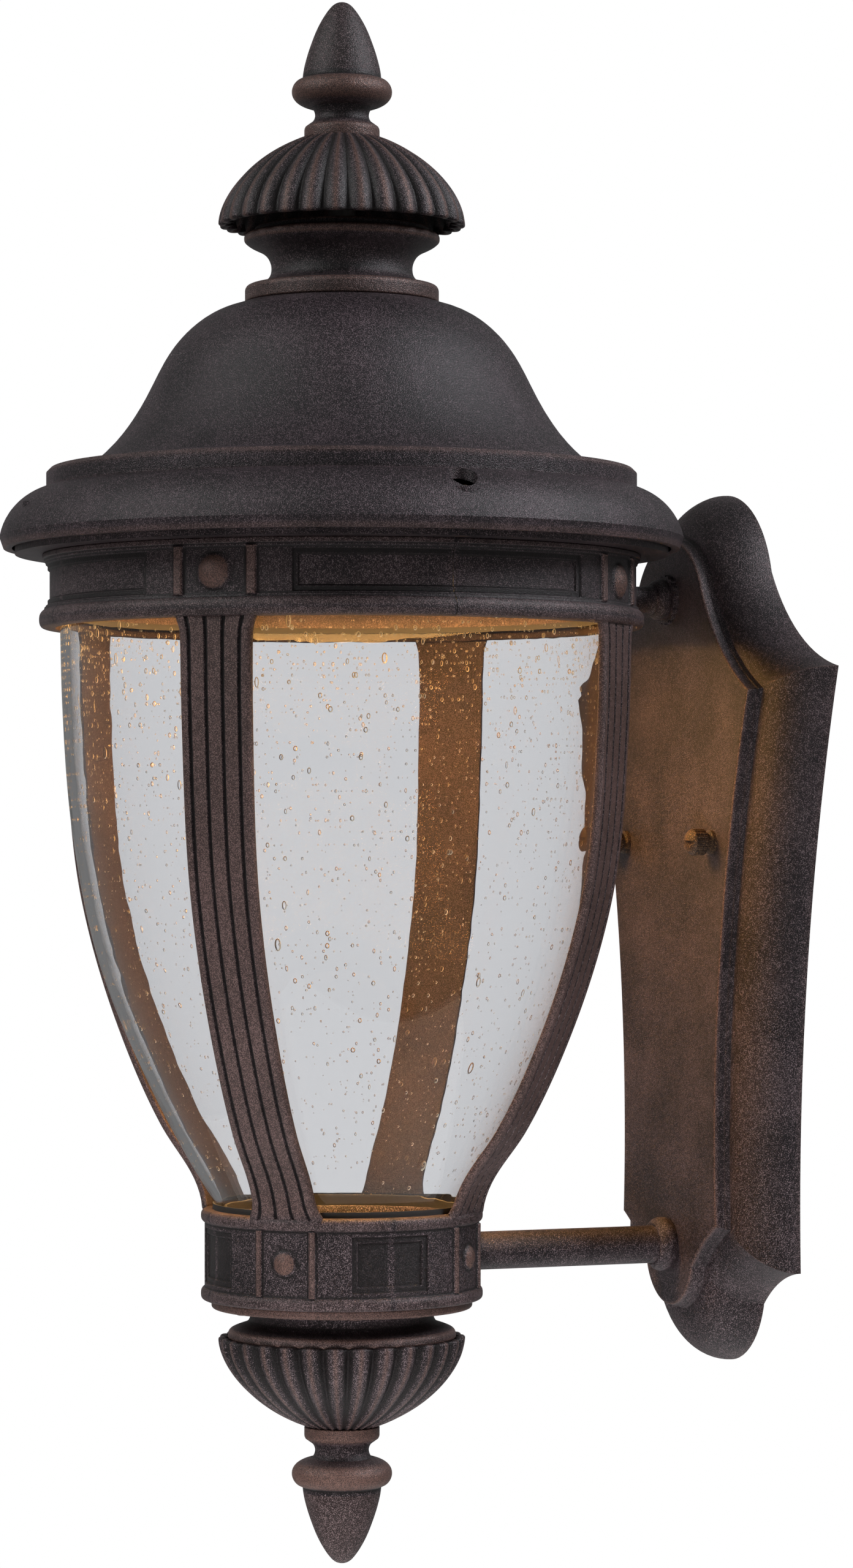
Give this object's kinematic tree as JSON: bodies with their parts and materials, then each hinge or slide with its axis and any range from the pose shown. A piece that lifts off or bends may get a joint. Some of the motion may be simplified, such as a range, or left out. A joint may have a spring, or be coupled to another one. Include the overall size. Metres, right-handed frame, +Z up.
{
  "type": "outdoor wall lantern",
  "caption": "Outdoor wall lantern: seeded glass urn in a strapped cast cage, bell roof with fluted cap and finials, held on arms from an ogee wall plate.",
  "frame": {"origin": "on the wall at the centre of the outlet box, between the two slots of the box strap", "axes": "+Z up, +Y into the wall, the lantern stands in front towards -Y"},
  "size_m": [0.2408, 0.2714, 0.552],
  "materials": {
    "bronze": "dark bronze sand-textured coat, rubbed through to copper brown on edges",
    "thumb_nut_bronze": "antique bronze, knurled",
    "seeded_glass": "clear, full of small seeds and bubbles",
    "screw_bronze": "blackened steel",
    "zinc_steel": "zinc plated",
    "green_screw": "green ground screw",
    "gasket_rubber": "silicone",
    "pan_aluminium": "white coated",
    "board_white": "white solder mask on a metal core",
    "led_phosphor": "yellow phosphor",
    "opal_plastic": "opal",
    "driver_plastic": "white moulded case",
    "lead_rubber": "black sheath"
  },
  "bodies": {
    "lantern": {"base_disc": "bronze", "base_screws": "screw_bronze", "bottom_finial": "bronze", "bottom_neck": "bronze", "bottom_rod_nut": "zinc_steel", "bottom_rod_washer": "zinc_steel", "bottom_tie_rod": "zinc_steel", "box_strap": "zinc_steel", "cage_front_left": "bronze", "cage_front_right": "bronze", "cage_rear_left": "bronze", "cage_rear_right": "bronze", "centre_screw": "zinc_steel", "clamp_ring": "bronze", "clamp_screws": "zinc_steel", "fluted_bowl": "bronze", "fluted_cap": "bronze", "foot_gasket": "gasket_rubber", "glass_urn": "seeded_glass", "ground_screw": "green_screw", "led_board": "board_white", "led_chips": "led_phosphor", "led_diffuser": "opal_plastic", "led_driver": "driver_plastic", "led_pan": "pan_aluminium", "lower_arm": "bronze", "lower_arm_cage_nut": "zinc_steel", "lower_arm_collar": "bronze", "lower_arm_plate_nut": "zinc_steel", "lower_arm_saddle": "zinc_steel", "pan_screws": "zinc_steel", "roof": "bronze", "roof_neck": "bronze", "roof_screws": "screw_bronze", "stud_bar": "zinc_steel", "stud_left": "zinc_steel", "stud_right": "zinc_steel", "supply_lead": "lead_rubber", "top_finial": "bronze", "top_gasket": "gasket_rubber", "top_rod_nut": "zinc_steel", "top_rod_washer": "zinc_steel", "top_tie_rod": "zinc_steel", "upper_arm": "bronze", "upper_arm_cage_nut": "zinc_steel", "upper_arm_collar": "bronze", "upper_arm_plate_nut": "zinc_steel", "upper_arm_saddle": "zinc_steel", "upper_arm_washer": "bronze", "wall_plate": "bronze"},
    "left_thumb_nut": {"thumb_nut_left": "thumb_nut_bronze"},
    "right_thumb_nut": {"thumb_nut_right": "thumb_nut_bronze"}
  },
  "joints": [
    {"name": "left_thumb_nut_turn", "type": "hinge", "parent": "lantern", "child": "left_thumb_nut", "pos_m": [-0.0365, -0.024, 0], "axis": [0, -1, 0], "continuous": true},
    {"name": "right_thumb_nut_turn", "type": "hinge", "parent": "lantern", "child": "right_thumb_nut", "pos_m": [0.0365, -0.024, 0], "axis": [0, -1, 0], "continuous": true}
  ]
}
